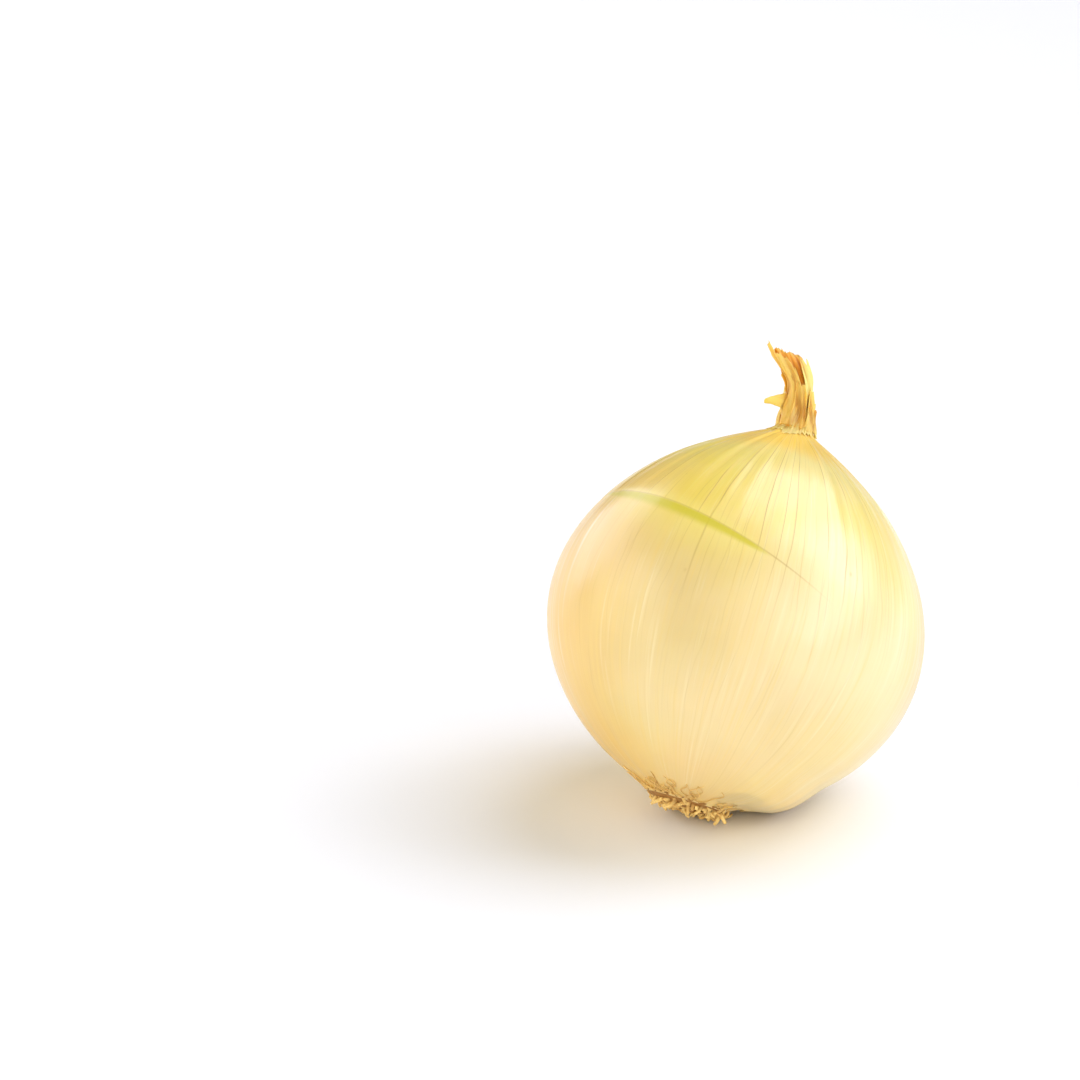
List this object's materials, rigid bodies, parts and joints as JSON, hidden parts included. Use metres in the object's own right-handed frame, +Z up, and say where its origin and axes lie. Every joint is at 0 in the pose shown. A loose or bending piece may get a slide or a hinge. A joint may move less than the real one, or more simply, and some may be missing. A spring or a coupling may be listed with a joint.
{
  "type": "onion",
  "caption": "Large white onion lying at rest on its side, with a dry bent neck and a tuft of dry roots; a loose vegetable for kitchen, shop and table scenes.",
  "frame": {"origin": "on the table, under the middle of the onion's bounding box, which lies on the flat spot that the bulb rests on", "axes": "+Z up from the table; the onion leans over from +Z towards +X and +Y, so its neck points up and away from -Y and its roots lie low on the -X -Y side; -Y faces a viewer"},
  "size_m": [0.09, 0.0884, 0.1037],
  "materials": {
    "skin": "thin satin skin, pale cream yellow with fine veins",
    "dry_neck": "dry, papery, golden orange",
    "roots": "dry, fibrous, tan to brown"
  },
  "bodies": {
    "root": {"bulb": "skin", "neck": "dry_neck", "root_tuft": "roots"}
  },
  "joints": []
}
